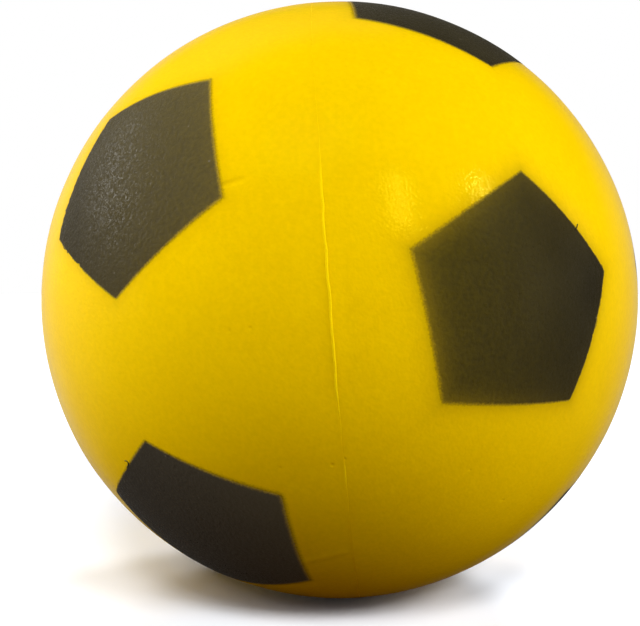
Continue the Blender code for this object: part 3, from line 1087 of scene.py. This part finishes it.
# White floor and surroundings, softboxes that leave no glints, and narrow lamps that do
studio = {
    "floorSize": 6.0,
    "floorWhite": "#FAFAFA",
    # what the ball gets back, as painted shade: the floor under and before it is drawn dark, as in its own
    # yellow shade
    "nearBounce": "#5C4424",
    "farBounce": "#A8A196",
    "shadeInFront": 0.8,          # ball radii from the resting spot to the middle of that painted shade
    "bounceReach": (1.2, 2.3),    # ball radii from there over which it grows
    "leftBounce": "#E6E0D4",      # painted light where the lamps on the left would also light the floor
    "leftWay": (-0.8, 0.6, 0),
    "leftReach": (0.5, 2.0),      # ball radii that way over which it grows
    "dome": 0.06,                 # light from all around
    "backdrop": 1.0,              # what the camera sees behind the floor
    # gloss shows a bright oval behind the ball, painted on the floor and shining in the backdrop, and a
    # dark room beyond it
    "sweepWay": (-0.16, 1.0, -0.02),
    "sweepReach": (1.14, 2.0, 0.57),
    "sweepFull": 0.49,            # share of the reach that is evenly bright
    "sweepGloss": 0.42,
    "boxLight": "#FFFFFF",
    # degrees to the right of the camera, degrees up, metres away, width, height, watts
    "softboxes": {
        "leftBox": (-92, 7, 1.1, 0.9, 0.9, 8.5),
        "frontFill": (-10, 20, 1.2, 0.6, 0.6, 0.5),
        "frontTop": (-18, 56, 1.2, 0.5, 0.5, 5.6),
        "rightBox": (70, 18, 1.1, 0.8, 0.8, 2.6),
        "rightLow": (85, 4, 1.1, 0.7, 0.7, 6.0),
        "backBox": (200, 45, 1.2, 1.0, 1.0, 11.8),
    },
    "strips": {
        "leftLow": (-92, 20, 1.15, 0.26, 0.22, 2.0),
        "leftMiddle": (-105, 27, 1.15, 0.26, 0.22, 2.2),
        "leftTop": (-118, 33, 1.15, 0.22, 0.22, 0.8),
    },
    "glintLight": "#FFFF98",      # yellow, since the glints in front aren't pale
    "glintLamps": {
        "frontStrip": (23, 34, 1.2, 0.08, 0.40, 3.0),
        "rightSpot": (58, 34, 1.2, 0.08, 0.17, 1.9),
    },
    "floorLight": "#F6F9FF",
    "floorLampAway": 2.0,
    # distant lamps for the floor alone, so that the shadow lies as in the photograph:
    # degrees to the right of the camera, degrees up, degrees across, share of the floor's light
    "floorLamps": {
        "floorFrontLow": (5, 17, 14, 0.018),
        "floorFrontLeft": (-15, 34, 14, 0.10),
        "floorFront": (0, 42, 14, 0.43),
        "floorFrontRight": (30, 35, 14, 0.41),
        "floorRight": (45, 26, 14, 0.045),
        "floorBackRight": (150, 42, 14, 0.33),
        "floorBack": (165, 34, 14, 0.07),
        "floorBackLeft": (-165, 42, 14, 0.14),
    },
}


def sweepShine(node, way, brightness):
    apart = node("ShaderNodeVectorMath", (way, studio["sweepWay"]), operation="SUBTRACT")
    oval = node("ShaderNodeVectorMath", (apart, studio["sweepReach"]), operation="DIVIDE")
    off = node("ShaderNodeVectorMath", (oval,), operation="LENGTH").outputs["Value"]
    return node("ShaderNodeMapRange", (off, studio["sweepFull"], 1.0, brightness, 0.0))


def makeFloor():
    # plain white to the camera; to the ball a floor with painted shade near it, painted light to its left,
    # and a painted bright oval for the gloss
    material, node = newMaterial("white studio floor")
    path = node("ShaderNodeLightPath")
    # which way a reflected ray goes, for the painted reflection that the gloss alone sees
    ray = node("ShaderNodeNewGeometry").outputs["Incoming"]
    way = node("ShaderNodeVectorMath", {0: ray, "Scale": -1.0}, operation="SCALE")
    light = sum(lamp[3] for lamp in studio["floorLamps"].values())
    shade = (0, -studio["shadeInFront"] * ball["radius"], 0)
    place = node("ShaderNodeTexCoord").outputs["Object"]
    # painted shade: darker near the ball, under and before it
    near, far = (radii * ball["radius"] for radii in studio["bounceReach"])
    spot = node("ShaderNodeVectorMath", (place, shade), operation="DISTANCE").outputs["Value"]
    away = node("ShaderNodeMapRange", (spot, near, far))
    bounce = node("ShaderNodeMix",
                  {0: away, 6: linear(studio["nearBounce"]), 7: linear(studio["farBounce"])},
                  data_type="RGBA").outputs[2]
    # painted light to the left
    begin, end = (radii * ball["radius"] for radii in studio["leftReach"])
    leftward = node("ShaderNodeVectorMath",
                    (place, studio["leftWay"]), operation="DOT_PRODUCT").outputs["Value"]
    lit = node("ShaderNodeMapRange", (leftward, begin, end))
    back = node("ShaderNodeMix",
                {0: lit, 6: bounce, 7: linear(studio["leftBounce"])}, data_type="RGBA").outputs[2]
    sweep = sweepShine(node, way, studio["sweepGloss"] / light)
    gloss = node("ShaderNodeMix",
                 {0: path.outputs["Is Glossy Ray"], 6: back, 7: sweep}, data_type="RGBA").outputs[2]
    seen = node("ShaderNodeMath",
                (path.outputs["Is Camera Ray"], path.outputs["Is Transmission Ray"]), operation="MAXIMUM")
    colour = node("ShaderNodeMix",
                  {0: seen, 6: gloss, 7: linear(studio["floorWhite"])}, data_type="RGBA").outputs[2]
    shader = node("ShaderNodeBsdfDiffuse", {"Color": colour})
    node("ShaderNodeOutputMaterial", {"Surface": shader})
    mesh = bpy.data.meshes.new("floor")
    half = studio["floorSize"] / 2
    corners = [(-half, -half, 0), (half, -half, 0), (half, half, 0), (-half, half, 0)]
    mesh.from_pydata(corners, [], [range(len(corners))])
    mesh.materials.append(material)
    floor = bpy.data.objects.new("floor", mesh)
    scene.collection.objects.link(floor)
    return floor


def makeSurroundings():
    world = bpy.data.worlds.new("white surroundings")
    scene.world = world
    world.use_nodes = True
    tree = world.node_tree
    tree.nodes.clear()
    node = partial(addNode, tree)
    path = node("ShaderNodeLightPath")
    seen = node("ShaderNodeMath",
                (path.outputs["Is Camera Ray"], path.outputs["Is Glossy Ray"]), operation="MAXIMUM")
    shown = node("ShaderNodeMath", (seen, path.outputs["Is Transmission Ray"]), operation="MAXIMUM")
    sweep = sweepShine(node, node("ShaderNodeTexCoord").outputs["Generated"], studio["sweepGloss"])
    camera = path.outputs["Is Camera Ray"]
    backdrop = node("ShaderNodeMix", {0: camera, 2: sweep, 3: studio["backdrop"]}, data_type="FLOAT")
    strength = node("ShaderNodeMix", {0: shown, 2: studio["dome"], 3: backdrop}, data_type="FLOAT")
    sky = node("ShaderNodeBackground", {"Color": (1, 1, 1, 1), "Strength": strength})
    node("ShaderNodeOutputWorld", {"Surface": sky})


def wayTo(right, up):
    right, up = math.radians(right), math.radians(up)
    return Vector((math.sin(right) * math.cos(up), -math.cos(right) * math.cos(up), math.sin(up)))


def addLamp(name, kind, way, away, lit, glints):
    # a lamp that looks at the ball and lights only what the collection says
    data = bpy.data.lights.new(name, kind)
    lamp = bpy.data.objects.new(name, data)
    lamp.location = ballCentre + way * away
    lamp.rotation_euler = (-way).to_track_quat("-Z", "Y").to_euler()
    lamp.light_linking.receiver_collection = lit
    lamp.visible_glossy = glints
    scene.collection.objects.link(lamp)
    return data


def makeLamps(floor):
    floorOnly = bpy.data.collections.new("floorOnly")
    notFloor = bpy.data.collections.new("notFloor")
    for group in (floorOnly, notFloor):
        group.objects.link(floor)
    notFloor.collection_objects[0].light_linking.link_state = "EXCLUDE"
    for kind, glints, light in (
        ("softboxes", False, studio["boxLight"]),
        ("strips", True, studio["boxLight"]),
        ("glintLamps", True, studio["glintLight"]),
    ):
        for name, (right, up, away, width, height, watts) in studio[kind].items():
            data = addLamp(name, "AREA", wayTo(right, up), away, notFloor, glints)
            data.shape = "RECTANGLE"
            data.size = width
            data.size_y = height
            data.energy = watts
            data.color = linear(light)[:3]
    for name, (right, up, across, share) in studio["floorLamps"].items():
        data = addLamp(name, "SUN", wayTo(right, up), studio["floorLampAway"], floorOnly, False)
        data.angle = math.radians(across)
        data.energy = share * math.pi / math.sin(math.radians(up))
        data.color = linear(studio["floorLight"])[:3]


floor = makeFloor()
makeSurroundings()
makeLamps(floor)
scene.view_settings.view_transform = "Standard"
print("studio lit")
